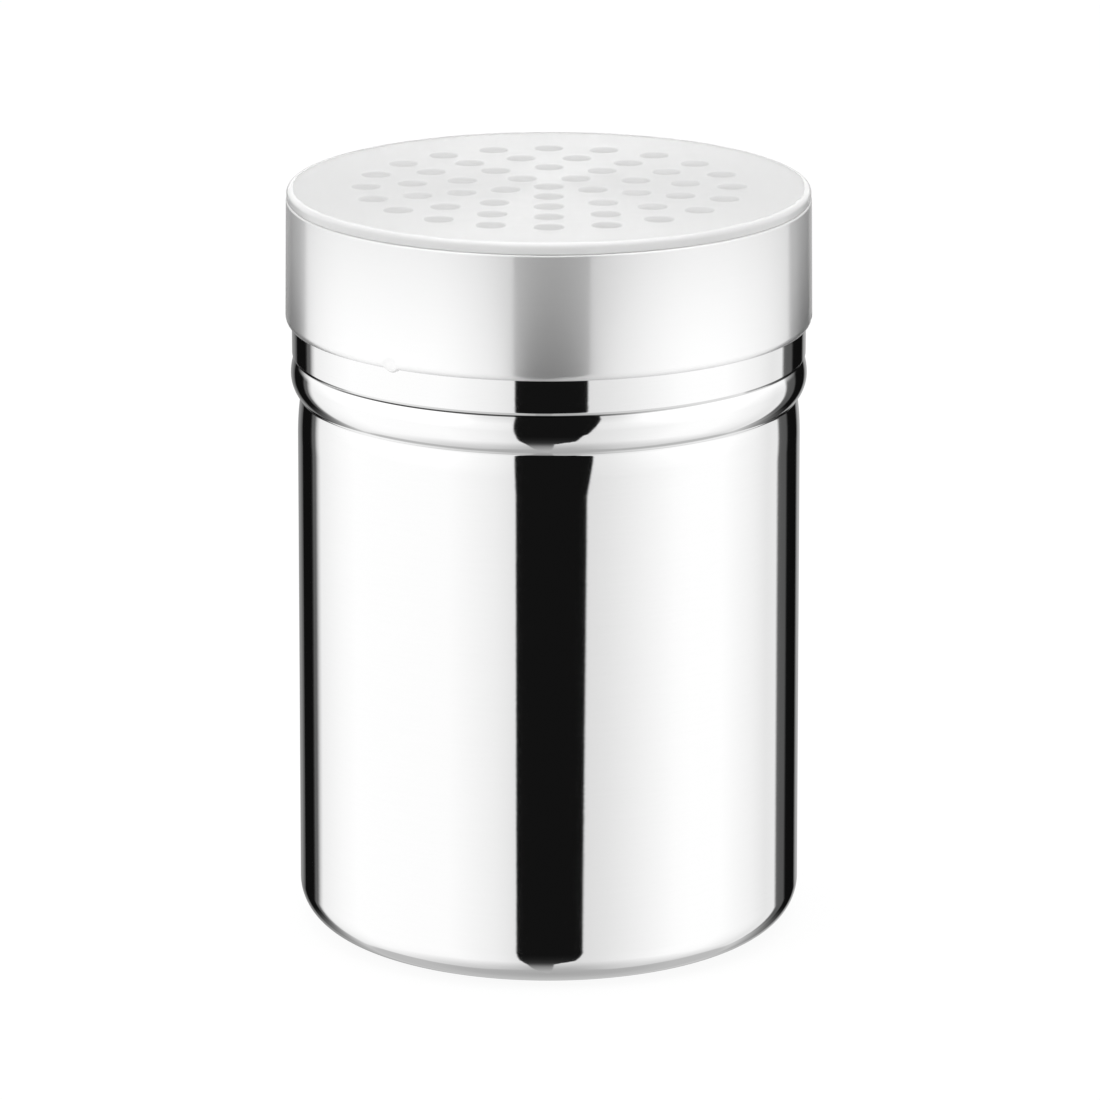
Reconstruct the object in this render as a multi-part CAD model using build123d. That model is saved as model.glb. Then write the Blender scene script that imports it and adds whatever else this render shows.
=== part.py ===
from build123d import *
import os

# A counter-top spice shaker: a drawn steel cup, a push-on perforated steel cap and a plastic snap lid.
# Millimetres, +Z up, origin at the middle of the base, -Y is the front.

# Sheet steel of the cup and the cap
SHEET = 0.5

# Cup
CUP_HEIGHT = 98.0
NECK_RADIUS = 33.9
NECK_LENGTH = 20.35
CREASE_DEPTH = 0.26
CREASE_SLOPE = 0.45
CREASE_FILLET = 0.2
BEAD_PROUD = 0.19
BEAD_UPPER = 2.5
BEAD_LOWER = 3.05
WAIST_DEPTH = 0.65
GROOVE_DEPTH = 0.41
GROOVE_FLARE = 5.5
GROOVE_FILLET = 0.4
WALL_TAPER = 0.33
CORNER_RADIUS = 5.0
FOOT_WIDTH = 3.4
BASE_RECESS = 0.6
RECESS_SLOPE = 1.5
RECESS_FILLET = 1.0

# Cap
CAP_CLEARANCE = 0.08
SKIRT_LENGTH = 16.3
SKIRT_FLARE = 0.23
LIP_HEIGHT = 0.85
LIP_INSET = 0.3
SHOULDER_ROUND = 0.3
STEP_HEIGHT = 0.7
PANEL_ROUND = 0.3

# Sprinkling holes: one in the middle and rings of 5, 10, 15 and 20 round it
HOLE_DIAMETER = 3.9
RING_PITCH = 6.0
RING_TOTAL = 4
RING_HOLES = 5

# Nibs pressed into the skirt
NIB_TOTAL = 3
NIB_HEIGHT = 0.85
NIB_RADIUS = 0.85
NIB_CLEARANCE = 0.04
FIRST_NIB_ANGLE = -127.8

# Snap lid
LID_PLATE = 0.8
LID_WALL = 0.5
LID_INSET = 0.08
LID_CLEARANCE = 0.03
LID_EDGE_ROUND = 0.45
LID_RIM_GAP = 0.05

FRONT_ANGLE = -90.0

# Heights and radii that follow from the sizes above
CREASE_Z = CUP_HEIGHT - NECK_LENGTH
CROWN_Z = CREASE_Z - BEAD_UPPER
GROOVE_Z = CROWN_Z - BEAD_LOWER
WALL_TOP_Z = GROOVE_Z - GROOVE_FLARE
WAIST_RADIUS = NECK_RADIUS - WAIST_DEPTH
BASE_RADIUS = WAIST_RADIUS + WALL_TAPER
FOOT_OUTER_RADIUS = BASE_RADIUS - CORNER_RADIUS
FOOT_INNER_RADIUS = FOOT_OUTER_RADIUS - FOOT_WIDTH

SKIRT_TOP_RADIUS = NECK_RADIUS + CAP_CLEARANCE + SHEET
SKIRT_BOTTOM_RADIUS = SKIRT_TOP_RADIUS + SKIRT_FLARE
SHOULDER_Z = CUP_HEIGHT + SHEET
SKIRT_BOTTOM_Z = SHOULDER_Z - SKIRT_LENGTH
PANEL_Z = SHOULDER_Z + STEP_HEIGHT

LID_RADIUS = SKIRT_TOP_RADIUS - LID_INSET
LID_BORE_RADIUS = LID_RADIUS - LID_WALL
STEP_RADIUS = LID_BORE_RADIUS - LID_CLEARANCE
LID_TOP_Z = PANEL_Z + LID_PLATE


def spin_round(section):
    """Solid made by turning a half section, drawn as (radius, height), about the Z axis."""
    return revolve(Plane.XZ * section, Axis.Z)


def round_corner(section, corner, radius):
    """Section with the corner nearest to a point rounded."""
    vertex = section.vertices().sort_by_distance(Vector(*corner))[0]
    return fillet(vertex, radius)


def cup_outside(overrun):
    """Half section of all that the cup's outer surface encloses, run past the axis and the rim by overrun."""
    crease = (NECK_RADIUS - CREASE_DEPTH, CREASE_Z)
    crown = (NECK_RADIUS + BEAD_PROUD, CROWN_Z)
    groove = (WAIST_RADIUS - GROOVE_DEPTH, GROOVE_Z)
    wall_top = (WAIST_RADIUS, WALL_TOP_Z)
    neck_end = (NECK_RADIUS, CREASE_Z + CREASE_SLOPE)
    recess_edge = (FOOT_INNER_RADIUS - RECESS_SLOPE, BASE_RECESS)
    foot_inner = (FOOT_INNER_RADIUS, 0)
    foot_outer = (FOOT_OUTER_RADIUS, 0)
    wall_foot = (BASE_RADIUS, CORNER_RADIUS)
    rim_z = CUP_HEIGHT + overrun
    edges = [
        Polyline((-overrun, BASE_RECESS), recess_edge, foot_inner, foot_outer),
        TangentArc(foot_outer, wall_foot, tangent=(1, 0)),
        Line(wall_foot, wall_top),
        TangentArc(wall_top, groove, tangent=(0, 1)),
        TangentArc(crown, groove, tangent=(0, -1)),
        TangentArc(crown, crease, tangent=(0, 1)),
        Polyline(crease, neck_end, (NECK_RADIUS, rim_z), (-overrun, rim_z), (-overrun, BASE_RECESS)),
    ]
    section = make_face(Curve() + edges)
    section = round_corner(section, crease, CREASE_FILLET)
    section = round_corner(section, groove, GROOVE_FILLET)
    section = round_corner(section, recess_edge, RECESS_FILLET)
    return round_corner(section, foot_inner, RECESS_FILLET)


def shaker_body():
    """Drawn cup of even thickness: base with a shallow recess, wall, groove, bead, crease and open neck."""
    cavity = offset(cup_outside(SHEET), amount=-SHEET, kind=Kind.INTERSECTION)
    return spin_round(cup_outside(0) - cavity)


def cap_blank():
    """Cap before it is pierced and nibbed: skirt, shoulder, step and flat panel."""
    lip_top_z = SKIRT_BOTTOM_Z + LIP_HEIGHT
    lip_top = (SKIRT_BOTTOM_RADIUS, lip_top_z)
    lip_end = (SKIRT_BOTTOM_RADIUS - LIP_INSET, SKIRT_BOTTOM_Z)
    shoulder = (SKIRT_TOP_RADIUS, SHOULDER_Z)
    panel_edge = (STEP_RADIUS, PANEL_Z)
    edges = [
        Polyline(
            (0, PANEL_Z - SHEET),
            (STEP_RADIUS - SHEET, PANEL_Z - SHEET),
            (STEP_RADIUS - SHEET, SHOULDER_Z - SHEET),
            (SKIRT_TOP_RADIUS - SHEET, SHOULDER_Z - SHEET),
            (SKIRT_BOTTOM_RADIUS - SHEET, SKIRT_BOTTOM_Z),
            lip_end,
        ),
        TangentArc(lip_top, lip_end, tangent=(0, -1)),
        Polyline(lip_top, shoulder, (STEP_RADIUS, SHOULDER_Z), panel_edge, (0, PANEL_Z), (0, PANEL_Z - SHEET)),
    ]
    section = make_face(Curve() + edges)
    section = round_corner(section, shoulder, SHOULDER_ROUND)
    return spin_round(round_corner(section, panel_edge, PANEL_ROUND))


def sprinkling_holes():
    """Cutters for the middle hole and the rings of holes, with one hole of each ring at the front."""
    cutter = Cylinder(HOLE_DIAMETER / 2, 4 * SHEET)
    panel_middle = Pos(0, 0, PANEL_Z - SHEET / 2)
    places = [Location((0, 0, 0))]
    for ring in range(1, RING_TOTAL + 1):
        places += PolarLocations(ring * RING_PITCH, ring * RING_HOLES, start_angle=FRONT_ANGLE)
    return [panel_middle * place * cutter for place in places]


def nib_places():
    """Centres of the spheres that press the nibs into the skirt, and the depth the nibs reach."""
    nib_z = SKIRT_BOTTOM_Z + NIB_HEIGHT
    flare_share = (SHOULDER_Z - nib_z) / SKIRT_LENGTH
    skirt_radius = SKIRT_TOP_RADIUS + SKIRT_FLARE * flare_share
    depth = skirt_radius - SHEET - NECK_RADIUS - NIB_CLEARANCE
    sphere_distance = skirt_radius - depth + NIB_RADIUS
    return [Pos(0, 0, nib_z) * place for place in PolarLocations(sphere_distance, NIB_TOTAL, FIRST_NIB_ANGLE)]


def perforated_cap():
    """Pressed cap with its sprinkling holes and the nibs that grip the neck."""
    cap = cap_blank() - sprinkling_holes()
    bump = Sphere(NIB_RADIUS + SHEET)
    dent = Sphere(NIB_RADIUS)
    skirt_middle = Pos(0, 0, SKIRT_BOTTOM_Z + SKIRT_LENGTH / 2)
    inside = skirt_middle * Cylinder(SKIRT_BOTTOM_RADIUS - SHEET / 2, SKIRT_LENGTH)
    for place in nib_places():
        cap += (place * bump) & inside
        cap -= place * dent
    return cap


def snap_lid():
    """Shallow plastic lid whose rim grips the step of the cap."""
    rim_z = SHOULDER_Z + LID_RIM_GAP
    outer_edge = (LID_RADIUS, LID_TOP_Z)
    section = make_face(
        Polyline(
            (0, PANEL_Z),
            (LID_BORE_RADIUS, PANEL_Z),
            (LID_BORE_RADIUS, rim_z),
            (LID_RADIUS, rim_z),
            outer_edge,
            (0, LID_TOP_Z),
            (0, PANEL_Z),
        )
    )
    return spin_round(round_corner(section, outer_edge, LID_EDGE_ROUND))


def main():
    """Writes each piece to its own STEP file."""
    pieces = {
        "shaker_body": shaker_body(),
        "perforated_cap": perforated_cap(),
        "snap_lid": snap_lid(),
    }
    os.makedirs("parts", exist_ok=True)
    for node, shape in pieces.items():
        export_step(shape, f"parts/{node}.step")
        box = shape.bounding_box()
        print(node, "solids", len(shape.solids()), "volume", round(shape.volume, 1), "box", box.min, box.max)


main()
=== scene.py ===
"""Looks of a counter-top spice shaker: a polished drawn cup, a satin pierced cap and a milky snap lid.

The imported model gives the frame. Each piece is modelled anew in that frame, at the sizes of the node that it
stands for, and rides on that node's body. Sizes in the classes are millimetres and meshes are in metres, with
+Z up, the origin in the middle of the base and -Y as the front.
"""

import logging
import math
from collections.abc import Callable, Iterator
from contextlib import contextmanager
from dataclasses import dataclass
from enum import Enum
from itertools import pairwise

import bmesh
import bpy
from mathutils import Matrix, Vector

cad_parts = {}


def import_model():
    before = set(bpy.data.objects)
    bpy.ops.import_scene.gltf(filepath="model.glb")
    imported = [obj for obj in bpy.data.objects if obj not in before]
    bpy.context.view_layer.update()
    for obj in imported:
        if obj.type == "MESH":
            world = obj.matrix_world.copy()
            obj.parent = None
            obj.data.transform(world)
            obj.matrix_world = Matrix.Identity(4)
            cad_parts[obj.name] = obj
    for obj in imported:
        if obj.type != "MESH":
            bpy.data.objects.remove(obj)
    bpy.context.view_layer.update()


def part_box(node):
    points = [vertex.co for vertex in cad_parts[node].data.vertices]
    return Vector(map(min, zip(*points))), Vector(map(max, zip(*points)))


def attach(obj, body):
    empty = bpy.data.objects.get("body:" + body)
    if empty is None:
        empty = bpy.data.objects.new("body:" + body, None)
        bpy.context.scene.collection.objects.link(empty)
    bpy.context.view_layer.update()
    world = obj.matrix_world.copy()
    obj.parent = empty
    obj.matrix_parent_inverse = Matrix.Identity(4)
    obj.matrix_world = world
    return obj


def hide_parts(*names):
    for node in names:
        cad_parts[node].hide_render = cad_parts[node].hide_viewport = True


log = logging.getLogger("spice_shaker")

MM = 0.001
SHEET = 0.5
RING_STEPS = 256
ARC_STEP = math.radians(4.0)
LONGEST_CHORD = 0.35
LONG_STRETCH = 0.6
SUPPORT = 0.15
TOUCHING = 1e-6
SMOOTH_ANGLE = math.radians(35.0)
FRONT_ANGLE = -90.0
ROUND_THE_PIECE = 0.25

Point = tuple[float, float]
Course = tuple[tuple[float, float], ...]


def millimetres(corner: Vector) -> Vector:
    """A corner of the frame, in millimetres."""
    return corner / MM


def spoke_at(angle: float) -> Vector:
    """Direction away from the axis, at an angle in degrees from +X towards +Y."""
    return Vector((math.cos(math.radians(angle)), math.sin(math.radians(angle)), 0))


# ---------------------------------------------------------------- outlines


def between(start: Point, end: Point, share: float) -> Point:
    """The point at a share of the way from start to end."""
    return (start[0] + (end[0] - start[0]) * share, start[1] + (end[1] - start[1]) * share)


def arc_points(start: Point, end: Point, tangent: Point) -> list[Point]:
    """Points of a circular arc, both ends included.

    Args:
        start: where the arc begins.
        end: where the arc ends.
        tangent: the direction in which the arc leaves its start.

    Returns:
        Points along the arc, close enough together to look round.
    """
    length = math.hypot(*tangent)
    along = (tangent[0] / length, tangent[1] / length)
    across = (-along[1], along[0])
    step = (end[0] - start[0], end[1] - start[1])
    ahead = step[0] * along[0] + step[1] * along[1]
    aside = step[0] * across[0] + step[1] * across[1]
    sweep = 2 * math.atan2(aside, ahead)
    radius = (step[0] ** 2 + step[1] ** 2) / (2 * aside)
    centre = (start[0] + across[0] * radius, start[1] + across[1] * radius)
    spoke = (start[0] - centre[0], start[1] - centre[1])
    count = max(math.ceil(abs(sweep) / ARC_STEP), math.ceil(abs(sweep * radius) / LONGEST_CHORD), 1)
    points = []
    for index in range(count + 1):
        angle = sweep * index / count
        turned_x = spoke[0] * math.cos(angle) - spoke[1] * math.sin(angle)
        turned_y = spoke[0] * math.sin(angle) + spoke[1] * math.cos(angle)
        points.append((centre[0] + turned_x, centre[1] + turned_y))
    return points


class Outline:
    """Half section of a turned piece, drawn as (radius, height) points in millimetres."""

    def __init__(self, *points: Point) -> None:
        """Starts the outline with straight stretches through some points."""
        self.points = list(points)

    def line(self, *points: Point) -> "Outline":
        """Adds straight stretches to these points."""
        self.points += points
        return self

    def divided_line(self, end: Point, pitch: float) -> "Outline":
        """Adds a straight stretch to end that has a point about every pitch."""
        start = self.points[-1]
        count = math.ceil(math.dist(start, end) / pitch)
        for index in range(1, count + 1):
            self.points.append(between(start, end, index / count))
        return self

    def arc_from(self, tangent: Point, end: Point) -> "Outline":
        """Adds an arc to end that leaves the last point along tangent."""
        self.points += arc_points(self.points[-1], end, tangent)[1:]
        return self

    def arc_into(self, end: Point, tangent: Point) -> "Outline":
        """Adds an arc to end that arrives there along tangent."""
        backwards = arc_points(end, self.points[-1], (-tangent[0], -tangent[1]))
        self.points += backwards[-2::-1]
        return self

    def soften(self, corner: Point, radius: float) -> "Outline":
        """Rounds the corner nearest to a point.

        Args:
            corner: a point at the corner.
            radius: the radius of the rounding.

        Returns:
            The outline itself.
        """
        index = min(range(len(self.points)), key=lambda i: math.dist(self.points[i], corner))
        sharp = self.points[index]
        before, after = self.points[index - 1], self.points[index + 1]
        heading_in = math.atan2(sharp[1] - before[1], sharp[0] - before[0])
        heading_out = math.atan2(after[1] - sharp[1], after[0] - sharp[0])
        turn = abs(math.remainder(heading_out - heading_in, math.tau))
        reach = radius * math.tan(turn / 2)
        start, first_kept = self._walk(index, -1, reach)
        end, next_kept = self._walk(index, 1, reach)
        tangent = (sharp[0] - start[0], sharp[1] - start[1])
        curve = arc_points(start, end, tangent)
        self.points = self.points[: first_kept + 1] + curve + self.points[next_kept:]
        return self

    def _walk(self, index: int, step: int, reach: float) -> tuple[Point, int]:
        """The point at reach from a point of the outline, and the index of the next point beyond it."""
        left = reach
        while True:
            here, there = self.points[index], self.points[index + step]
            length = math.dist(here, there)
            if length > left:
                return between(here, there, left / length), index + step
            left -= length
            index += step

    def supported(self) -> list[Point]:
        """The points, with one more near each end of a long stretch so that its shading stays flat."""
        points = [self.points[0]]
        for here, there in pairwise(self.points):
            length = math.dist(here, there)
            if length > LONG_STRETCH:
                for distance in (SUPPORT, length - SUPPORT):
                    points.append(between(here, there, distance / length))
            points.append(there)
        return points


# ---------------------------------------------------------------- modelling by hand


class Element(Enum):
    """What is picked in edit mode."""

    VERTEX = "VERT"
    EDGE = "EDGE"
    FACE = "FACE"


def select_only(*pieces: bpy.types.Object) -> None:
    """Selects some pieces and nothing else, and makes the first one active."""
    bpy.ops.object.select_all(action="DESELECT")
    for piece in pieces:
        piece.select_set(True)
    bpy.context.view_layer.objects.active = pieces[0]


@contextmanager
def editing(piece: bpy.types.Object) -> Iterator[None]:
    """Edit mode on one piece, with nothing else selected."""
    select_only(piece)
    bpy.ops.object.mode_set(mode="EDIT")
    yield
    bpy.ops.object.mode_set(mode="OBJECT")


def pick(piece: bpy.types.Object, element: Element, wanted: Callable[[Vector], bool]) -> int:
    """Selects, in edit mode, the elements whose corners all pass a test, and nothing else.

    Args:
        piece: the piece in edit mode.
        element: the kind of element to pick.
        wanted: the test, on a corner in metres.

    Returns:
        How many elements were picked.
    """
    bpy.ops.mesh.select_mode(type=element.value)
    bpy.ops.mesh.select_all(action="DESELECT")
    mesh = bmesh.from_edit_mesh(piece.data)
    passing = {vertex.index for vertex in mesh.verts if wanted(vertex.co)}
    elements = {Element.VERTEX: mesh.verts, Element.EDGE: mesh.edges, Element.FACE: mesh.faces}[element]
    picked = 0
    for one in elements:
        corners = [one] if element is Element.VERTEX else one.verts
        if all(corner.index in passing for corner in corners):
            one.select_set(True)
            picked += 1
    bmesh.update_edit_mesh(piece.data)
    return picked


def pick_nearest(piece: bpy.types.Object, places: list[Vector]) -> None:
    """Selects, in edit mode, the vertex nearest to each place, and nothing else."""
    bpy.ops.mesh.select_mode(type=Element.VERTEX.value)
    bpy.ops.mesh.select_all(action="DESELECT")
    mesh = bmesh.from_edit_mesh(piece.data)
    for place in places:
        min(mesh.verts, key=lambda vertex: (vertex.co - place).length_squared).select_set(True)
    bmesh.update_edit_mesh(piece.data)


def apply_modifier(piece: bpy.types.Object, kind: str, **settings: float | str | bool | int) -> None:
    """Adds a modifier to a piece, sets it and applies it."""
    modifier = piece.modifiers.new(kind.lower(), kind)
    for name, value in settings.items():
        setattr(modifier, name, value)
    select_only(piece)
    bpy.ops.object.modifier_apply(modifier=modifier.name)


def close_up(piece: bpy.types.Object) -> None:
    """Merges a piece's double vertices and turns its faces outwards."""
    with editing(piece):
        bpy.ops.mesh.select_all(action="SELECT")
        bpy.ops.mesh.remove_doubles(threshold=TOUCHING)
        bpy.ops.mesh.normals_make_consistent(inside=False)


def smooth(piece: bpy.types.Object) -> None:
    """Smooth shading, with sharp edges kept."""
    select_only(piece)
    bpy.ops.object.shade_smooth_by_angle(angle=SMOOTH_ANGLE)


@dataclass(frozen=True)
class Lathe:
    """Turns an outline round the Z axis: a circle is extruded and scaled from ring to ring.

    Attributes:
        steps: vertices round the circle.
        dense_angles: places round the circle, in degrees, that get finer steps.
        dense_reach: how far the finer steps go each side of such a place, in degrees.
        dense_cuts: cuts in each step there.
    """

    steps: int = RING_STEPS
    dense_angles: tuple[float, ...] = ()
    dense_reach: float = 2.5
    dense_cuts: int = 7

    def turn(self, name: str, outline: Outline) -> bpy.types.Object:
        """Makes a turned piece.

        Args:
            name: the piece's name.
            outline: its half section. An end on the axis is closed there, and any other stays open.

        Returns:
            The piece, with its origin at the frame's.
        """
        points = outline.supported()
        starts_on_axis = points[0][0] == 0
        ends_on_axis = points[-1][0] == 0
        rings = points[1 if starts_on_axis else 0 : -1 if ends_on_axis else None]
        piece = self._first_ring(name, rings[0])
        with editing(piece):
            if starts_on_axis:
                pick(piece, Element.EDGE, lambda _: True)
                self._pole(points[0][1] - rings[0][1])
                pick(piece, Element.EDGE, lambda corner: corner.xy.length > rings[0][0] * MM / 2)
            else:
                bpy.ops.mesh.select_all(action="SELECT")
            for before, after in pairwise(rings):
                self._next_ring(before, after)
            if ends_on_axis:
                self._pole(points[-1][1] - rings[-1][1])
        return piece

    def _first_ring(self, name: str, ring: Point) -> bpy.types.Object:
        """The circle that the piece is drawn out of."""
        radius = ring[0] * MM
        bpy.ops.object.select_all(action="DESELECT")
        bpy.ops.mesh.primitive_circle_add(vertices=self.steps, radius=radius, location=(0, 0, ring[1] * MM))
        piece = bpy.context.active_object
        piece.name = piece.data.name = name
        bpy.ops.object.transform_apply(location=True, rotation=True, scale=True)
        with editing(piece):
            for angle in self.dense_angles:
                spoke = spoke_at(angle).xy
                reach = math.cos(math.radians(self.dense_reach))
                pick(piece, Element.EDGE, lambda corner: corner.xy.normalized().dot(spoke) > reach)
                bpy.ops.mesh.subdivide(number_cuts=self.dense_cuts)
        for vertex in piece.data.vertices:
            vertex.co.xy *= radius / vertex.co.xy.length
        return piece

    @staticmethod
    def _next_ring(before: Point, after: Point) -> None:
        """Extrudes the selected ring to the next one."""
        rise = (0, 0, (after[1] - before[1]) * MM)
        growth = after[0] / before[0]
        bpy.ops.mesh.extrude_region_move(TRANSFORM_OT_translate={"value": rise})
        bpy.ops.transform.resize(value=(growth, growth, 1), center_override=(0, 0, 0))

    @staticmethod
    def _pole(rise: float) -> None:
        """Closes the selected ring with a point on the axis."""
        bpy.ops.mesh.extrude_region_move(TRANSFORM_OT_translate={"value": (0, 0, rise * MM)})
        bpy.ops.mesh.merge(type="CENTER")


# ---------------------------------------------------------------- shader graphs


class Signal:
    """A number that varies over a surface: a node's socket that takes part in arithmetic."""

    def __init__(self, graph: "Graph", socket: bpy.types.NodeSocket) -> None:
        """Wraps an output socket of a graph."""
        self.graph = graph
        self.socket = socket

    def _math(self, operation: str, *values: "Signal | float") -> "Signal":
        """Result of one Math node on some values."""
        node = self.graph.node("ShaderNodeMath", {"operation": operation}, dict(enumerate(values)))
        return Signal(self.graph, node.outputs[0])

    def __add__(self, other: "Signal | float") -> "Signal":
        """Sum."""
        return self._math("ADD", self, other)

    def __radd__(self, other: float) -> "Signal":
        """Sum."""
        return self._math("ADD", other, self)

    def __sub__(self, other: "Signal | float") -> "Signal":
        """Difference."""
        return self._math("SUBTRACT", self, other)

    def __rsub__(self, other: float) -> "Signal":
        """Difference."""
        return self._math("SUBTRACT", other, self)

    def __mul__(self, other: "Signal | float") -> "Signal":
        """Product."""
        return self._math("MULTIPLY", self, other)

    def __rmul__(self, other: float) -> "Signal":
        """Product."""
        return self._math("MULTIPLY", other, self)

    def __truediv__(self, other: "Signal | float") -> "Signal":
        """Quotient."""
        return self._math("DIVIDE", self, other)

    def power(self, exponent: float) -> "Signal":
        """This number raised to a power."""
        return self._math("POWER", self, exponent)

    def clamped(self) -> "Signal":
        """This number kept between 0 and 1."""
        return self._math("MINIMUM", self._math("MAXIMUM", self, 0.0), 1.0)

    def angle_from(self, other: "Signal") -> "Signal":
        """Angle, in radians, whose sine side is this number and whose cosine side is the other."""
        return self._math("ARCTAN2", self, other)

    def arcsine(self) -> "Signal":
        """Angle, in radians, whose sine is this number."""
        return self._math("ARCSINE", self)

    def size(self) -> "Signal":
        """This number without its sign."""
        return self._math("ABSOLUTE", self)

    def about(self, middle: float, spread: float) -> "Signal":
        """Middle where this number is a half, and half of spread less or more where it is 0 or 1."""
        return middle + spread * (self - 0.5)

    def ramp(self, low: float, high: float) -> "Signal":
        """0 where this number is at low, 1 where it is at high, with a soft course between them."""
        settings = {"interpolation_type": "SMOOTHSTEP"}
        sockets = {"Value": self, "From Min": low, "From Max": high}
        return self.graph.signal("ShaderNodeMapRange", "Result", settings, sockets)

    def course(self, stops: Course) -> "Signal":
        """Follows straight stretches between stops.

        Args:
            stops: values of this number in rising order, each with the result there, none of them below 0.

        Returns:
            The result, which stays even beyond the first and the last stop.
        """
        first, last = stops[0][0], stops[-1][0]
        top = max(result for _, result in stops)
        shares = [((value - first) / (last - first), result / top) for value, result in stops]
        sockets = {"Fac": (self - first) / (last - first)}
        return self.graph.signal("ShaderNodeValToRGB", "Color", {"stops": shares}, sockets) * top


class Graph:
    """The node tree of a material or of the world."""

    def __init__(self, owner: bpy.types.Material | bpy.types.World) -> None:
        """Empties the owner's node tree and takes it over."""
        owner.use_nodes = True
        self.tree = owner.node_tree
        self.tree.nodes.clear()

    def node(
        self,
        kind: str,
        settings: dict[str, object] | None = None,
        sockets: dict[str | int, object] | None = None,
    ) -> bpy.types.Node:
        """Adds one node.

        Args:
            kind: the node's type.
            settings: its properties, set first. "stops" are the (position, grey) stops of a colour ramp.
            sockets: values or links of its input sockets, by name or number.

        Returns:
            The new node.
        """
        made = self.tree.nodes.new(kind)
        for name, value in (settings or {}).items():
            if name == "stops":
                self._set_stops(made.color_ramp, value)
            else:
                setattr(made, name, value)
        for name, value in (sockets or {}).items():
            source = value.socket if isinstance(value, Signal) else value
            if isinstance(source, bpy.types.NodeSocket):
                self.tree.links.new(source, made.inputs[name])
            else:
                made.inputs[name].default_value = source
        return made

    @staticmethod
    def _set_stops(ramp: bpy.types.ColorRamp, stops: list[tuple[float, float]]) -> None:
        """Gives a new colour ramp its grey stops."""
        while len(ramp.elements) < len(stops):
            ramp.elements.new(1.0)
        for element, (position, grey) in zip(ramp.elements, stops):
            element.position = position
            element.color = (grey, grey, grey, 1)

    def signal(
        self,
        kind: str,
        output: str,
        settings: dict[str, object] | None = None,
        sockets: dict[str | int, object] | None = None,
    ) -> Signal:
        """One output of a new node as a number for arithmetic."""
        return Signal(self, self.node(kind, settings, sockets).outputs[output])

    def sides(self, vector: bpy.types.NodeSocket) -> list[Signal]:
        """The X, Y and Z sides of a vector."""
        apart = self.node("ShaderNodeSeparateXYZ", {}, {"Vector": vector})
        return [Signal(self, apart.outputs[name]) for name in "XYZ"]


@dataclass(frozen=True)
class TurnedPlace:
    """Where a point lies on a turned piece, in millimetres.

    Attributes:
        x: across.
        y: back.
        height: above the base.
        radius: from the axis.
        course: along the outline, from the middle of the base to the rim.
    """

    x: Signal
    y: Signal
    height: Signal
    radius: Signal
    course: Signal

    @classmethod
    def read(cls, graph: Graph) -> "TurnedPlace":
        """Reads the place from a piece's own coordinates."""
        corner = graph.node("ShaderNodeTexCoord").outputs["Object"]
        grown = graph.node("ShaderNodeMapping", {}, {"Vector": corner, "Scale": (1 / MM, 1 / MM, 1 / MM)})
        x, y, height = graph.sides(grown.outputs["Vector"])
        radius = (x * x + y * y).power(0.5)
        return cls(x, y, height, radius, radius + height)

    def grain(self, round_length: float, cross_length: float, detail: float = 2.0) -> Signal:
        """Noise drawn out round the piece.

        Args:
            round_length: length of its lines round the piece.
            cross_length: distance from line to line.
            detail: octaves of finer noise.

        Returns:
            The noise, from 0 to 1.
        """
        graph = self.x.graph
        sides = {"X": self.x / round_length, "Y": self.y / round_length, "Z": self.course / cross_length}
        place = graph.node("ShaderNodeCombineXYZ", {}, sides).outputs["Vector"]
        sockets = {"Vector": place, "Scale": 1.0, "Detail": detail, "Roughness": 0.6}
        return graph.signal("ShaderNodeTexNoise", "Fac", {"noise_dimensions": "3D"}, sockets)


class Finish:
    """What the finishes share: a named material with one Principled shader."""

    name = "finish"

    def material(self) -> bpy.types.Material:
        """Makes the finish as a material."""
        made = bpy.data.materials.new(self.name)
        graph = Graph(made)
        shader = graph.node("ShaderNodeBsdfPrincipled", {}, self.sockets(graph))
        graph.node("ShaderNodeOutputMaterial", {}, {"Surface": shader.outputs["BSDF"]})
        return made

    def sockets(self, graph: Graph) -> dict[str, object]:
        """Values and links of the Principled shader's sockets."""
        raise NotImplementedError

    @staticmethod
    def grey(graph: Graph, level: Signal) -> bpy.types.NodeSocket:
        """A neutral colour from a number."""
        sides = {"Red": level, "Green": level, "Blue": level}
        return graph.node("ShaderNodeCombineColor", {}, sides).outputs["Color"]

    @staticmethod
    def relief(graph: Graph, height: Signal, depth: float = 1.0) -> bpy.types.NodeSocket:
        """Normal of a relief, where a height of 1 stands for depth in millimetres."""
        return graph.node("ShaderNodeBump", {}, {"Height": height, "Distance": depth * MM}).outputs["Normal"]


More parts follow.
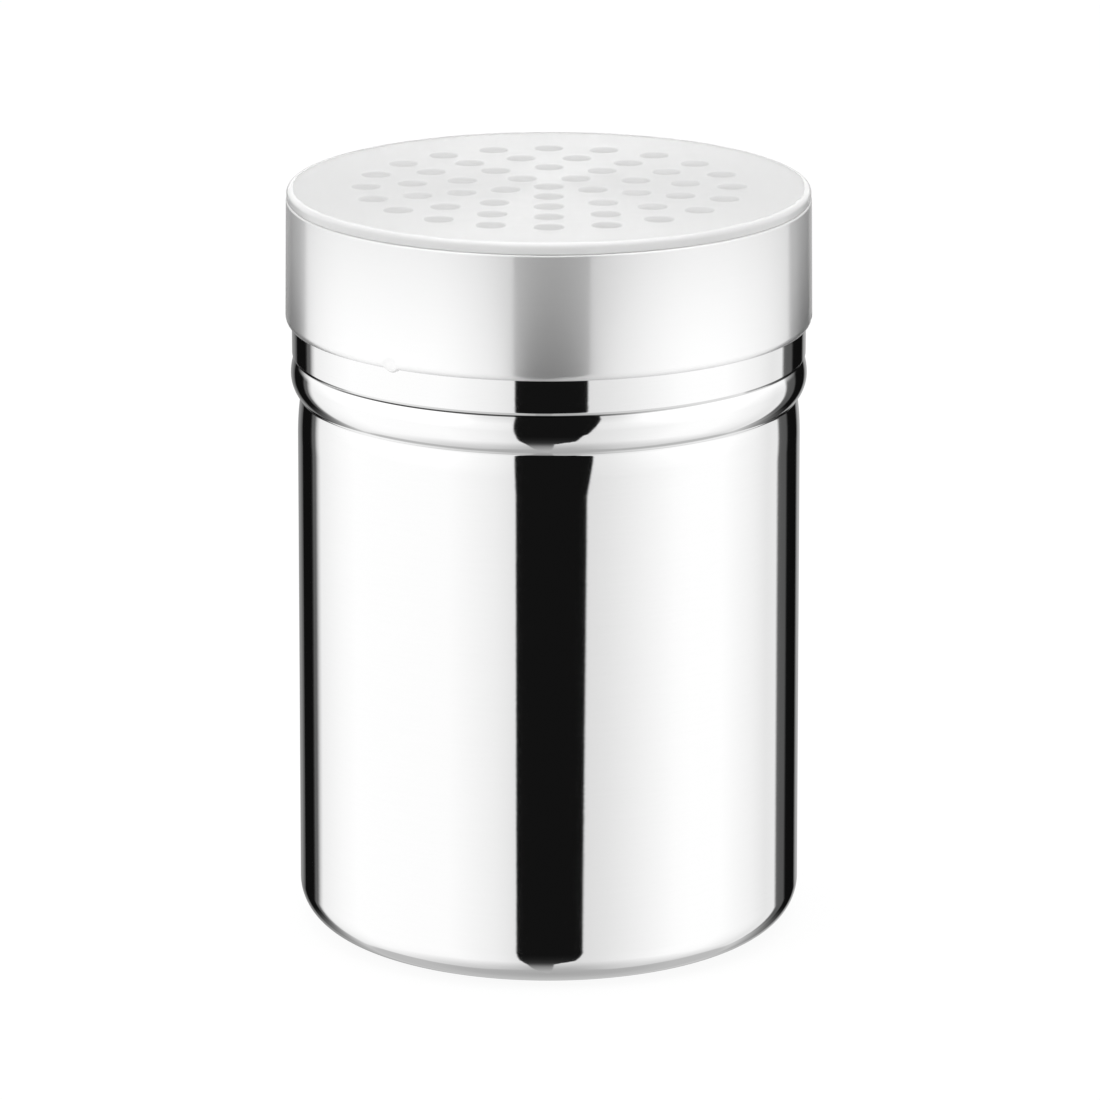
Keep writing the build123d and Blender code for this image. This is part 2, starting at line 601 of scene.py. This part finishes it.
@dataclass(frozen=True)
class MirrorSteel(Finish):
    """Stainless steel polished to a mirror, with the faint lines of the polishing wheel and painted shade in
    the crease.

    Attributes:
        crease: height of the crease, along which shade is painted into the colour, in millimetres.
        crease_reach: how far above and below the crease the painted shade goes.
        crease_painted_shade: how dark the painted shade is, by place across the cup. It deepens the dark line
            that the crease shows in the front view, and stands for no mark on the metal.
        tone_spread: how far the brightness goes from line to line.
        gloss_spread: how far the roughness goes from line to line.
        line_length: length of the polishing lines round the cup, in millimetres.
        line_pitch: distance from line to line.
        line_depth: depth of the lines.
        ripple_length: length of the ripple that the lines ride on. Its pitch and depth are like the lines'.
    """

    crease: float
    name: str = "mirror_polished_steel"
    brightness: float = 0.98
    crease_reach: float = 0.15
    crease_painted_shade: Course = (
        (-31.0, 0.1), (-26.5, 0.8), (-21.0, 0.93), (5.0, 0.93), (12.0, 0.45), (20.0, 0.12),
    )
    tone_spread: float = 0.02
    roughness: float = 0.03
    gloss_spread: float = 0.03
    line_length: float = 6.0
    line_pitch: float = 0.22
    line_depth: float = 0.0016
    ripple_length: float = 1.1
    ripple_pitch: float = 0.5
    ripple_depth: float = 0.0011

    def sockets(self, graph: Graph) -> dict[str, object]:
        """Bright metal whose gloss and tone vary a little from line to line, with painted shade along the
        crease.
        """
        place = TurnedPlace.read(graph)
        lines = place.grain(self.line_length, self.line_pitch)
        ripple = place.grain(self.ripple_length, self.ripple_pitch, detail=1.0)
        relief = lines * self.line_depth + ripple * self.ripple_depth
        # Painted shade: the base colour is darkened in a band along the crease, most across the middle and left
        # of the cup's x, on its back too.
        in_crease = 1 - (place.height - self.crease).size().ramp(self.crease_reach / 2, self.crease_reach)
        painted_shade = in_crease * place.x.course(self.crease_painted_shade)
        return {
            "Base Color": self.grey(graph, lines.about(self.brightness, self.tone_spread) * (1 - painted_shade)),
            "Metallic": 1.0,
            "Roughness": self.roughness + self.gloss_spread * lines,
            "Normal": self.relief(graph, relief),
        }


@dataclass(frozen=True)
class DrawnSteel(Finish):
    """Stainless steel as the drawing die leaves it: bright grey, with lines that run round the cup."""

    name: str = "drawn_steel"
    brightness: float = 0.74
    tone_spread: float = 0.12
    roughness: float = 0.3
    gloss_spread: float = 0.12
    anisotropy: float = 0.5
    line_length: float = 14.0
    line_pitch: float = 0.5
    line_depth: float = 0.004

    def sockets(self, graph: Graph) -> dict[str, object]:
        """Duller metal with marked drawing lines."""
        place = TurnedPlace.read(graph)
        lines = place.grain(self.line_length, self.line_pitch, detail=4.0)
        return {
            "Base Color": self.grey(graph, lines.about(self.brightness, self.tone_spread)),
            "Metallic": 1.0,
            "Roughness": lines.about(self.roughness, self.gloss_spread),
            "Anisotropic": self.anisotropy,
            "Anisotropic Rotation": ROUND_THE_PIECE,
            "Normal": self.relief(graph, lines, self.line_depth),
        }


@dataclass(frozen=True)
class SatinSteel(Finish):
    """Stainless steel with a fine satin grain turned round the cap, and a clear layer over it.

    Attributes:
        middle: height at which the grain has its mean roughness, in millimetres.
        metal_share: how much of it is shaded as metal. The rest is matt, which lightens dark reflections.
        smoothing: how much the roughness falls in each millimetre downwards.
        polish: weight of the clear layer, which adds the sharper part of the reflections.
        polish_index: refractive index of that layer, set for its strength and higher than a real lacquer's.
    """

    middle: float
    name: str = "satin_steel"
    brightness: float = 0.98
    tone_spread: float = 0.02
    roughness: float = 0.49
    gloss_spread: float = 0.05
    anisotropy: float = 0.9
    metal_share: float = 0.86
    smoothing: float = 0.016
    polish: float = 1.0
    polish_index: float = 2.6
    polish_roughness: float = 0.09
    line_length: float = 10.0
    line_pitch: float = 0.12
    line_depth: float = 0.0008

    def sockets(self, graph: Graph) -> dict[str, object]:
        """Soft metal that spreads a reflection across its grain far more than along it."""
        place = TurnedPlace.read(graph)
        lines = place.grain(self.line_length, self.line_pitch, detail=3.0)
        rougher = (place.height - self.middle) * self.smoothing
        return {
            "Base Color": self.grey(graph, lines.about(self.brightness, self.tone_spread)),
            "Metallic": self.metal_share,
            "Roughness": rougher + lines.about(self.roughness, self.gloss_spread),
            "Anisotropic": self.anisotropy,
            "Anisotropic Rotation": ROUND_THE_PIECE,
            "Coat Weight": self.polish,
            "Coat IOR": self.polish_index,
            "Coat Roughness": self.polish_roughness,
            "Normal": self.relief(graph, lines, self.line_depth),
        }


@dataclass(frozen=True)
class MilkyPlastic(Finish):
    """Milky plastic: part of the light passes through and bends, and the rest is scattered.

    Attributes:
        clearness: how much of the light passes through.
        index: refractive index.
        cloud_size: size of the uneven places from the mould, in millimetres.
        cloud_depth: depth of those places, in millimetres.
    """

    name: str = "milky_plastic"
    brightness: float = 0.87
    clearness: float = 0.81
    index: float = 1.5
    tone_spread: float = 0.012
    roughness: float = 0.08
    gloss_spread: float = 0.02
    cloud_size: float = 9.0
    cloud_depth: float = 0.001

    def sockets(self, graph: Graph) -> dict[str, object]:
        """Pale see-through plastic with a slight unevenness from the mould."""
        place = TurnedPlace.read(graph)
        cloud = place.grain(self.cloud_size, self.cloud_size, detail=3.0)
        return {
            "Base Color": self.grey(graph, cloud.about(self.brightness, self.tone_spread)),
            "Roughness": cloud.about(self.roughness, self.gloss_spread),
            "IOR": self.index,
            "Transmission Weight": self.clearness,
            "Normal": self.relief(graph, cloud, self.cloud_depth),
        }


# ---------------------------------------------------------------- the shaker's pieces


class Body(Enum):
    """Bodies of the frame that the pieces ride on."""

    CUP = "cup"
    CAP = "cap"
    LID = "lid"


class CupSkin(Enum):
    """Material slots of the cup's mesh."""

    OUTSIDE = 0
    INSIDE = 1


class LidSkin(Enum):
    """Material slots of the lid's mesh."""

    PLATE = 0
    RIM = 1


def place_in_frame(piece: bpy.types.Object, body: Body, node: str) -> None:
    """Makes a piece stand for a node of the frame, whose own mesh is hidden, and ride on its body."""
    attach(piece, body.value)
    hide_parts(node)


@dataclass
class Cup:
    """Drawn cup: recessed base, round bottom corner, wall, bead, crease and open neck.

    Attributes:
        height: height of the rim.
        crown_radius: radius of the bead at its crown, the widest place.
        neck_length: from the crease to the rim.
        bead_proud: how far the crown stands out past the neck.
        bead_upper: from the crown up to the crease.
        bead_lower: from the crown down to the groove.
        waist_depth: how far the wall's top lies inside the neck.
        groove_depth: how far the groove lies inside the wall.
        groove_flare: height over which the wall turns into the groove.
        wall_taper: how much larger the wall's radius is at its foot than at its top.
    """

    height: float
    crown_radius: float
    neck_length: float = 20.6
    bead_proud: float = 0.19
    bead_upper: float = 2.3
    bead_lower: float = 3.0
    crease_depth: float = 0.26
    crease_slope: float = 0.45
    crease_round: float = 0.12
    neck_round: float = 0.14
    waist_depth: float = 0.65
    groove_depth: float = 0.41
    groove_flare: float = 5.5
    groove_round: float = 0.4
    wall_taper: float = 0.33
    corner_radius: float = 5.0
    foot_width: float = 3.4
    base_recess: float = 0.6
    recess_slope: float = 1.5
    recess_round: float = 1.0
    rim_round: float = 0.12

    @classmethod
    def from_frame(cls) -> "Cup":
        """The cup at the size of its node."""
        high = millimetres(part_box("shaker_body")[1])
        return cls(height=high.z, crown_radius=high.x)

    @property
    def crease_height(self) -> float:
        """Height of the crease between the bead and the neck."""
        return self.height - self.neck_length

    def outline(self) -> Outline:
        """Half section of the outer surface, from the middle of the base to the rim."""
        neck_radius = self.crown_radius - self.bead_proud
        waist_radius = neck_radius - self.waist_depth
        base_radius = waist_radius + self.wall_taper
        foot_outer = (base_radius - self.corner_radius, 0.0)
        foot_inner = (foot_outer[0] - self.foot_width, 0.0)
        recess_edge = (foot_inner[0] - self.recess_slope, self.base_recess)
        crease = (neck_radius - self.crease_depth, self.crease_height)
        crown = (self.crown_radius, crease[1] - self.bead_upper)
        root = (waist_radius - self.groove_depth, crown[1] - self.bead_lower)
        wall_top = (waist_radius, root[1] - self.groove_flare)
        neck_end = (neck_radius, crease[1] + self.crease_slope)
        drawn = Outline((0.0, self.base_recess), recess_edge, foot_inner, foot_outer)
        drawn.arc_from((1, 0), (base_radius, self.corner_radius))
        drawn.line(wall_top).arc_from((0, 1), root).arc_into(crown, (0, 1)).arc_from((0, 1), crease)
        drawn.line(neck_end, (neck_radius, self.height))
        drawn.soften(recess_edge, self.recess_round).soften(foot_inner, self.recess_round)
        drawn.soften(root, self.groove_round).soften(crease, self.crease_round)
        return drawn.soften(neck_end, self.neck_round)

    def build(self) -> bpy.types.Object:
        """Models the cup, dresses it and puts it in the frame."""
        piece = Lathe().turn("polished_cup", self.outline())
        close_up(piece)
        for finish in (MirrorSteel(crease=self.crease_height), DrawnSteel()):
            piece.data.materials.append(finish.material())
        apply_modifier(
            piece,
            "SOLIDIFY",
            thickness=SHEET * MM,
            offset=-1.0,
            use_even_offset=True,
            material_offset=CupSkin.INSIDE.value,
            material_offset_rim=CupSkin.OUTSIDE.value,
        )
        apply_modifier(
            piece,
            "BEVEL",
            width=self.rim_round * MM,
            segments=3,
            limit_method="ANGLE",
            angle_limit=math.radians(60.0),
        )
        smooth(piece)
        place_in_frame(piece, Body.CUP, "shaker_body")
        return piece


@dataclass
class Cap:
    """Pressed cap: skirt with a rounded lip and nibs, shoulder, step and pierced panel.

    Attributes:
        panel_height: height of the panel's top.
        skirt_bottom: height of the lip's end.
        lip_radius: outer radius over the lip, the widest place.
        step_inset: from the skirt in to the step, which the lid's rim grips.
        hole_rim: width of the metal that comes with each hole.
        panel_margin: width of the panel outside the flat that holds the holes.
        nib_height: height of the nibs over the lip's end.
        nib_depth: how far the nibs are pressed in.
        nib_drop: how far they pull the lip down.
        nib_radius: how far round a nib's middle the metal gives way.
        nib_zone: height, above the lip's top, of the finer mesh that the nibs need.
        nib_pitch: height of a step of that mesh.
    """

    panel_height: float
    skirt_bottom: float
    lip_radius: float
    step_height: float = 0.7
    skirt_flare: float = 0.23
    lip_height: float = 0.85
    lip_inset: float = 0.3
    shoulder_round: float = 0.3
    panel_round: float = 0.3
    step_inset: float = 0.61
    edge_round: float = 0.08
    hole_diameter: float = 3.9
    hole_round: float = 0.1
    hole_rim: float = 0.3
    hole_steps: int = 40
    ring_pitch: float = 6.0
    ring_total: int = 4
    ring_holes: int = 5
    panel_margin: float = 0.8
    nib_angles: tuple[float, ...] = (-125.9, -5.9, 114.1)
    nib_height: float = 0.35
    nib_depth: float = 0.27
    nib_drop: float = 0.62
    nib_radius: float = 1.15
    nib_zone: float = 1.6
    nib_pitch: float = 0.11

    @classmethod
    def from_frame(cls) -> "Cap":
        """The cap at the size of its node."""
        low, high = (millimetres(corner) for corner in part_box("perforated_cap"))
        return cls(panel_height=high.z, skirt_bottom=low.z, lip_radius=high.x)

    @property
    def shoulder_height(self) -> float:
        """Height of the shoulder."""
        return self.panel_height - self.step_height

    @property
    def skirt_top_radius(self) -> float:
        """Outer radius of the skirt at the shoulder."""
        return self.lip_radius - self.skirt_flare

    @property
    def panel_radius(self) -> float:
        """Radius of the flat that holds the holes."""
        return self.skirt_top_radius - self.step_inset - self.panel_margin

    def skirt_radius(self, height: float) -> float:
        """Outer radius of the skirt at a height."""
        lip_top = self.skirt_bottom + self.lip_height
        share = (self.shoulder_height - height) / (self.shoulder_height - lip_top)
        return self.skirt_top_radius + self.skirt_flare * share

    def outline(self) -> Outline:
        """Half section from the panel's top, down the outside, and back up the inside to its underside."""
        under = self.panel_height - SHEET
        lip_top = (self.lip_radius, self.skirt_bottom + self.lip_height)
        lip_end = (self.lip_radius - self.lip_inset, self.skirt_bottom)
        skirt_end = (self.lip_radius - SHEET, self.skirt_bottom)
        shoulder = (self.skirt_top_radius, self.shoulder_height)
        step_foot = (self.skirt_top_radius - self.step_inset, self.shoulder_height)
        panel_edge = (step_foot[0], self.panel_height)
        zone_top = lip_top[1] + self.nib_zone
        inner_zone_top = (self.skirt_radius(zone_top) - SHEET, zone_top)
        inner_shoulder = (shoulder[0] - SHEET, shoulder[1] - SHEET)
        inner_foot = (step_foot[0] - SHEET, shoulder[1] - SHEET)
        inner_corner = (step_foot[0] - SHEET, under)
        drawn = Outline((self.panel_radius, self.panel_height), panel_edge, step_foot, shoulder)
        drawn.line((self.skirt_radius(zone_top), zone_top)).divided_line(lip_top, self.nib_pitch)
        drawn.arc_from((0, -1), lip_end).line(skirt_end).divided_line(inner_zone_top, self.nib_pitch)
        drawn.line(inner_shoulder, inner_foot, inner_corner, (self.panel_radius, under))
        drawn.soften(panel_edge, self.panel_round).soften(shoulder, self.shoulder_round)
        drawn.soften(step_foot, self.edge_round).soften(inner_corner, self.edge_round)
        return drawn

    def hole_places(self) -> list[Vector]:
        """Middles of the holes: one on the axis and rings round it, with a hole of each ring at the front."""
        places = [Vector((0, 0, 0))]
        for ring in range(1, self.ring_total + 1):
            count = ring * self.ring_holes
            for index in range(count):
                spoke = spoke_at(FRONT_ANGLE + 360.0 * index / count)
                places.append(spoke * ring * self.ring_pitch * MM)
        return places

    def hole_outline(self) -> Outline:
        """Half section of the metal round one hole, from the top face through the hole to the underside."""
        radius = self.hole_diameter / 2
        under = self.panel_height - SHEET
        rim = radius + self.hole_rim
        drawn = Outline((rim, self.panel_height), (radius, self.panel_height), (radius, under), (rim, under))
        drawn.soften((radius, self.panel_height), self.hole_round)
        return drawn.soften((radius, under), self.hole_round)

    def pierced_rings(self) -> bpy.types.Object:
        """The metal round every hole: one ring is turned, then copied to each place."""
        rings = Lathe(steps=self.hole_steps).turn("hole_rings", self.hole_outline())
        with editing(rings):
            bpy.ops.mesh.select_all(action="SELECT")
            for before, after in pairwise(self.hole_places()):
                bpy.ops.mesh.duplicate_move(TRANSFORM_OT_translate={"value": after - before})
        return rings

    def fill_panel(self, piece: bpy.types.Object) -> None:
        """Fills the flat between the outer ring and the rings of the holes, above and below."""
        edge_radius = self.skirt_top_radius * MM
        with editing(piece):
            for height in (self.panel_height, self.panel_height - SHEET):
                bpy.ops.mesh.select_mode(type=Element.EDGE.value)
                bpy.ops.mesh.select_all(action="DESELECT")
                mesh = bmesh.from_edit_mesh(piece.data)
                for edge in mesh.edges:
                    level = all(abs(corner.co.z - height * MM) < TOUCHING for corner in edge.verts)
                    if edge.is_boundary and level and edge.verts[0].co.xy.length < edge_radius:
                        edge.select_set(True)
                bmesh.update_edit_mesh(piece.data)
                bpy.ops.mesh.fill(use_beauty=True)

    def press_nibs(self, piece: bpy.types.Object) -> None:
        """Presses the nibs into the skirt, through both of its faces, so that the lip dips a little there."""
        height = self.skirt_bottom + self.nib_height
        outer = self.skirt_radius(height)
        dip = Vector((0, 0, self.nib_drop * MM))
        for angle in self.nib_angles:
            spoke = spoke_at(angle)
            faces = [spoke * radius * MM + Vector((0, 0, height * MM)) for radius in (outer, outer - SHEET)]
            with editing(piece):
                pick_nearest(piece, faces)
                bpy.ops.transform.translate(
                    value=-spoke * self.nib_depth * MM - dip,
                    use_proportional_edit=True,
                    proportional_edit_falloff="INVERSE_SQUARE",
                    proportional_size=self.nib_radius * MM,
                )

    def build(self) -> bpy.types.Object:
        """Models the cap, dresses it and puts it in the frame."""
        piece = Lathe(dense_angles=self.nib_angles).turn("pierced_cap", self.outline())
        rings = self.pierced_rings()
        select_only(piece, rings)
        bpy.ops.object.join()
        self.fill_panel(piece)
        close_up(piece)
        self.press_nibs(piece)
        smooth(piece)
        finish = SatinSteel(middle=(self.panel_height + self.skirt_bottom) / 2)
        piece.data.materials.append(finish.material())
        place_in_frame(piece, Body.CAP, "perforated_cap")
        return piece


@dataclass
class Lid:
    """Shallow plastic lid: a thin plate and a short rim that grips the cap's step.

    Attributes:
        radius: outer radius.
        top: height of the plate's top.
        rim_bottom: height of the rim's end.
        wall: thickness of the rim.
        plate: thickness of the plate.
        rim_width: width of the band at the edge that takes the rim's copy of the plastic, less clear where the
            light crosses the rim and darker in colour as painted shade.
    """

    radius: float
    top: float
    rim_bottom: float
    wall: float = 0.5
    plate: float = 0.75
    edge_round: float = 0.7
    rim_width: float = 0.85
    rim_clearness: float = 0.35
    shaded_rim_brightness: float = 0.79
    rim_round: float = 0.1

    @classmethod
    def from_frame(cls) -> "Lid":
        """The lid at the size of its node."""
        low, high = (millimetres(corner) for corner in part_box("snap_lid"))
        return cls(radius=high.x, top=high.z, rim_bottom=low.z)

    def outline(self) -> Outline:
        """Half section from the middle of the top, over the rim, to the middle of the underside."""
        under = self.top - self.plate
        bore = self.radius - self.wall
        edge = (self.radius, self.top)
        rim_outer = (self.radius, self.rim_bottom)
        rim_inner = (bore, self.rim_bottom)
        drawn = Outline((0.0, self.top), edge, rim_outer, rim_inner, (bore, under), (0.0, under))
        drawn.soften(edge, self.edge_round)
        return drawn.soften(rim_outer, self.rim_round).soften(rim_inner, self.rim_round)

    def build(self) -> bpy.types.Object:
        """Models the lid, dresses it and puts it in the frame."""
        piece = Lathe().turn("milky_lid", self.outline())
        close_up(piece)
        smooth(piece)
        # The rim's copy of the plastic has a darker colour: painted shade on the edge band, not a second
        # plastic.
        rim = MilkyPlastic("milky_plastic_shaded_rim", brightness=self.shaded_rim_brightness, clearness=self.rim_clearness)
        for finish in (MilkyPlastic(), rim):
            piece.data.materials.append(finish.material())
        with editing(piece):
            pick(piece, Element.FACE, lambda corner: corner.xy.length > (self.radius - self.rim_width) * MM)
            piece.active_material_index = LidSkin.RIM.value
            bpy.ops.object.material_slot_assign()
        place_in_frame(piece, Body.LID, "snap_lid")
        return piece


# ---------------------------------------------------------------- the studio


class Ray(Enum):
    """Kinds of rays that see the pale surroundings as they are."""

    CAMERA = "Is Camera Ray"
    GLOSSY = "Is Glossy Ray"
    TRANSMISSION = "Is Transmission Ray"


def seen_directly(graph: Graph) -> Signal:
    """1 for the rays that look at the surroundings straight, in a mirror or through a clear body."""
    path = graph.node("ShaderNodeLightPath")
    camera, glossy, transmission = (Signal(graph, path.outputs[ray.value]) for ray in Ray)
    return (camera + glossy + transmission).clamped()


@dataclass(frozen=True)
class Floor:
    """Large pale floor, white to the camera, with the object's soft shadow in it."""

    side: float = 12000.0
    glow_share: float = 0.9
    colour: float = 0.85

    def build(self) -> bpy.types.Object:
        """Makes the floor. Mirrors show the surroundings in its place, as a glossy table would."""
        bpy.ops.object.select_all(action="DESELECT")
        bpy.ops.mesh.primitive_plane_add(size=self.side * MM)
        floor = bpy.context.active_object
        floor.name = floor.data.name = "studio_floor"
        floor.data.materials.append(self._material())
        floor.visible_glossy = False
        return floor

    def _material(self) -> bpy.types.Material:
        """White where it is looked at, plain diffuse where it only takes and gives light."""
        made = bpy.data.materials.new("pale_floor")
        graph = Graph(made)
        glow = graph.node("ShaderNodeEmission")
        matt = graph.node("ShaderNodeBsdfDiffuse", {}, {"Color": (self.colour,) * 3 + (1,)})
        top = graph.node(
            "ShaderNodeMixShader",
            {},
            {0: self.glow_share * seen_directly(graph), 1: matt.outputs["BSDF"], 2: glow.outputs["Emission"]},
        )
        below = graph.node("ShaderNodeBsdfTransparent")
        back = graph.node("ShaderNodeNewGeometry").outputs["Backfacing"]
        both = graph.node(
            "ShaderNodeMixShader", {}, {0: back, 1: top.outputs["Shader"], 2: below.outputs["BSDF"]}
        )
        graph.node("ShaderNodeOutputMaterial", {}, {"Surface": both.outputs["Shader"]})
        return made


@dataclass(frozen=True)
class Surroundings:
    """White tent round a glossy table, with a slit in front and dark flags behind.

    Directions are in degrees: azimuth 0 is the front and grows to the right, and elevation 0 is level. The
    glossy table repeats the tent below the horizon, down to where the shaker's own foot darkens it.

    Attributes:
        ambient: how strongly the tent lights what doesn't mirror it.
        tent: brightness round the tent, by azimuth.
        flags: how much of the tent shows past the dark flags, by azimuth.
        flag_foot: elevations between which the flags begin.
        flag_top: elevations between which the left flag ends.
        flag_rise: how much higher the right flag reaches.
        flag_sides: azimuths between which the flags' top rises from left to right.
        slit_left: how far the slit reaches to the left, by elevation.
        slit_right: how far the slit reaches to the right, by elevation.
        slit_top: elevation at which the slit ends.
        slit_foot: brightness inside the slit, by elevation.
        edge: half the width of the slit's soft edge.
        level: how bright the tent is, by elevation, less where the table repeats it.
        near_table: elevations between which the table's near part begins in front.
        near_sides: azimuths, on both sides, between which it begins higher.
        near_rise: how much higher it begins behind.
        near_grey: brightness of the table's near part, by elevation.
        hood: elevations between which the tent darkens in front.
        hood_width: azimuths between which that dark part fades out.
        hood_shade: how dark it is.
        overhead: elevations between which the softbox overhead begins.
        overhead_strength: brightness of the softbox.
        backdrop: elevations between which the bright backdrop begins.
        backdrop_sides: azimuths, on both sides, between which it begins.
        backdrop_strength: brightness of the backdrop.
    """

    ambient: float = 0.75
    tent: Course = (
        (-180.0, 0.70), (-141.0, 0.80), (-130.0, 0.86), (-125.0, 0.89), (-111.0, 0.97), (-99.0, 1.02),
        (-47.0, 1.0), (-39.0, 0.96), (-24.6, 0.88), (-16.0, 0.80), (16.0, 0.73), (26.0, 0.78),
        (44.0, 0.90), (60.0, 1.0), (68.0, 1.02), (86.0, 1.02), (96.0, 0.96), (107.0, 0.90),
        (119.0, 0.80), (129.0, 0.82), (180.0, 0.70),
    )
    flags: Course = (
        (-180.0, 0.6), (-167.0, 0.38), (-161.8, 0.285), (-158.7, 0.18), (-155.8, 0.1), (-155.2, 0.006),
        (-139.4, 0.006), (-138.7, 0.12), (-134.4, 0.15), (-132.6, 0.6), (-129.0, 1.0), (128.3, 1.0),
        (130.2, 0.16), (133.0, 0.12), (140.1, 0.11), (141.0, 0.006), (157.6, 0.006), (159.0, 0.14),
        (162.3, 0.42), (168.0, 0.6), (180.0, 0.6),
    )
    flag_foot: tuple[float, float] = (-56.0, -24.0)
    flag_top: tuple[float, float] = (-5.0, 3.0)
    flag_rise: float = 20.0
    flag_sides: tuple[float, float] = (-20.0, 20.0)
    slit_left: Course = ((-52.0, 12.5), (-38.0, 14.6), (-19.0, 14.8), (0.0, 15.3))
    slit_right: Course = (
        (-51.0, 3.0), (-40.0, 13.5), (-19.0, 15.4), (-15.0, 17.2), (20.0, 23.5),
    )
    slit_top: float = 40.0
    slit_foot: Course = (
        (-80.0, 0.42), (-69.0, 0.33), (-59.0, 0.22), (-52.0, 0.09), (-46.0, 0.03), (-34.0, 0.012),
        (-22.0, 0.006),
    )
    edge: float = 0.5
    level: Course = (
        (-72.0, 0.56), (-60.0, 0.7), (-44.0, 0.97), (-30.0, 1.0), (-8.0, 1.0), (10.0, 1.2),
    )
    near_table: tuple[float, float] = (-75.0, -71.0)
    near_sides: tuple[float, float] = (70.0, 135.0)
    near_rise: float = 27.0
    near_grey: Course = ((-90.0, 0.38), (-70.0, 0.44), (-60.0, 0.50))
    hood: tuple[float, float] = (-10.0, 42.0)
    hood_width: tuple[float, float] = (26.0, 50.0)
    hood_shade: float = 0.36
    overhead: tuple[float, float] = (46.0, 62.0)
    overhead_strength: float = 2.4
    backdrop: tuple[float, float] = (-3.0, 8.0)
    backdrop_sides: tuple[float, float] = (92.0, 118.0)
    backdrop_strength: float = 0.9

    def tone(self, graph: Graph) -> Signal:
        """Brightness of the tent in the direction in which a ray leaves the object."""
        x, y, z = graph.sides(graph.node("ShaderNodeTexCoord").outputs["Generated"])
        azimuth = x.angle_from(0 - y) * math.degrees(1)
        elevation = z.arcsine() * math.degrees(1)
        leftwards = elevation.course(self.slit_left) + azimuth
        rightwards = elevation.course(self.slit_right) - azimuth
        slit = leftwards.ramp(-self.edge, self.edge) * rightwards.ramp(-self.edge, self.edge)
        above = elevation.ramp(self.slit_top - self.edge, self.slit_top + self.edge)
        reached = elevation - azimuth.ramp(*self.flag_sides) * self.flag_rise
        flagged = elevation.ramp(*self.flag_foot) * (1 - reached.ramp(*self.flag_top))
        round_about = azimuth.course(self.tent) * (1 + flagged * (azimuth.course(self.flags) - 1))
        hooded = elevation.ramp(*self.hood) * (1 - azimuth.size().ramp(*self.hood_width)) * self.hood_shade
        behind = elevation.ramp(*self.backdrop) * azimuth.size().ramp(*self.backdrop_sides)
        around = round_about + behind * (self.backdrop_strength - round_about)
        tent = around * elevation.course(self.level) * (1 - hooded)
        near = elevation.course(self.near_grey)
        risen = elevation - azimuth.size().ramp(*self.near_sides) * self.near_rise
        open_side = near + risen.ramp(*self.near_table) * (tent - near)
        below = open_side + slit * (1 - above) * (elevation.course(self.slit_foot) - open_side)
        return below + elevation.ramp(*self.overhead) * (self.overhead_strength - below)

    def build(self) -> None:
        """Makes the world: plain white to the camera, and the tent to everything else."""
        world = bpy.data.worlds.new("pale_tent")
        graph = Graph(world)
        camera = graph.signal("ShaderNodeLightPath", Ray.CAMERA.value)
        mirrored = self.ambient + (1 - self.ambient) * seen_directly(graph)
        strength = camera + (1 - camera) * mirrored * self.tone(graph)
        sky = graph.node("ShaderNodeBackground", {}, {"Color": (1, 1, 1, 1), "Strength": strength})
        graph.node("ShaderNodeOutputWorld", {}, {"Surface": sky.outputs["Background"]})
        bpy.context.scene.world = world


@dataclass(frozen=True)
class SoftLamp:
    """A square soft lamp that looks at the shaker.

    Attributes:
        name: the lamp's name.
        place: where it stands, in millimetres.
        side: its side, in millimetres.
        watts: its power.
    """

    name: str
    place: tuple[float, float, float]
    side: float
    watts: float

    def build(self) -> bpy.types.Object:
        """Makes the lamp. Mirrors don't show it."""
        light = bpy.data.lights.new(self.name, "AREA")
        light.size = self.side * MM
        light.energy = self.watts
        lamp = bpy.data.objects.new(self.name, light)
        bpy.context.scene.collection.objects.link(lamp)
        lamp.location = Vector(self.place) * MM
        lamp.rotation_euler = (-lamp.location).to_track_quat("-Z", "Y").to_euler()
        lamp.visible_glossy = False
        return lamp


@dataclass(frozen=True)
class Studio:
    """Floor, surroundings, lamps and camera."""

    camera_place: tuple[float, float, float] = (0.15, -760.0, 266.75)
    camera_drop: float = 15.901
    camera_lens: float = 193.85
    camera_sensor: float = 36.0

    def lamps(self) -> list[SoftLamp]:
        """A key lamp on the left, a fill lamp on the right and a wide one above."""
        return [
            SoftLamp("key_lamp", place=(-650.0, -520.0, 800.0), side=500.0, watts=3.0),
            SoftLamp("fill_lamp", place=(750.0, -380.0, 620.0), side=600.0, watts=1.5),
            SoftLamp("top_lamp", place=(0.0, 150.0, 1100.0), side=700.0, watts=3.0),
        ]

    def build_camera(self) -> bpy.types.Object:
        """A long lens that looks a little down at the shaker."""
        data = bpy.data.cameras.new("camera")
        data.sensor_width = self.camera_sensor
        data.lens = self.camera_lens
        data.clip_start = 0.01
        data.clip_end = 50.0
        camera = bpy.data.objects.new("camera", data)
        bpy.context.scene.collection.objects.link(camera)
        camera.location = Vector(self.camera_place) * MM
        camera.rotation_euler = (math.radians(90.0 - self.camera_drop), 0, 0)
        bpy.context.scene.camera = camera
        return camera

    def build(self) -> None:
        """Makes the whole studio."""
        Floor().build()
        for lamp in self.lamps():
            lamp.build()
            log.info("studio: %s", lamp.name)
        Surroundings().build()
        self.build_camera()
        bpy.context.scene.view_settings.view_transform = "Standard"


def corners(bounds: tuple[Vector, Vector]) -> list[list[float]]:
    """The two corners of a box as plain lists."""
    return [list(corner) for corner in bounds]


def main() -> None:
    """Builds the shaker's pieces in order, then the studio round them."""
    logging.basicConfig(level=logging.INFO, format="%(name)s: %(message)s")
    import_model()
    for maker in (Cup, Cap, Lid):
        piece = maker.from_frame().build()
        log.info("%s: %d faces", piece.name, len(piece.data.polygons))
    Studio().build()


if __name__ == "__main__":
    main()
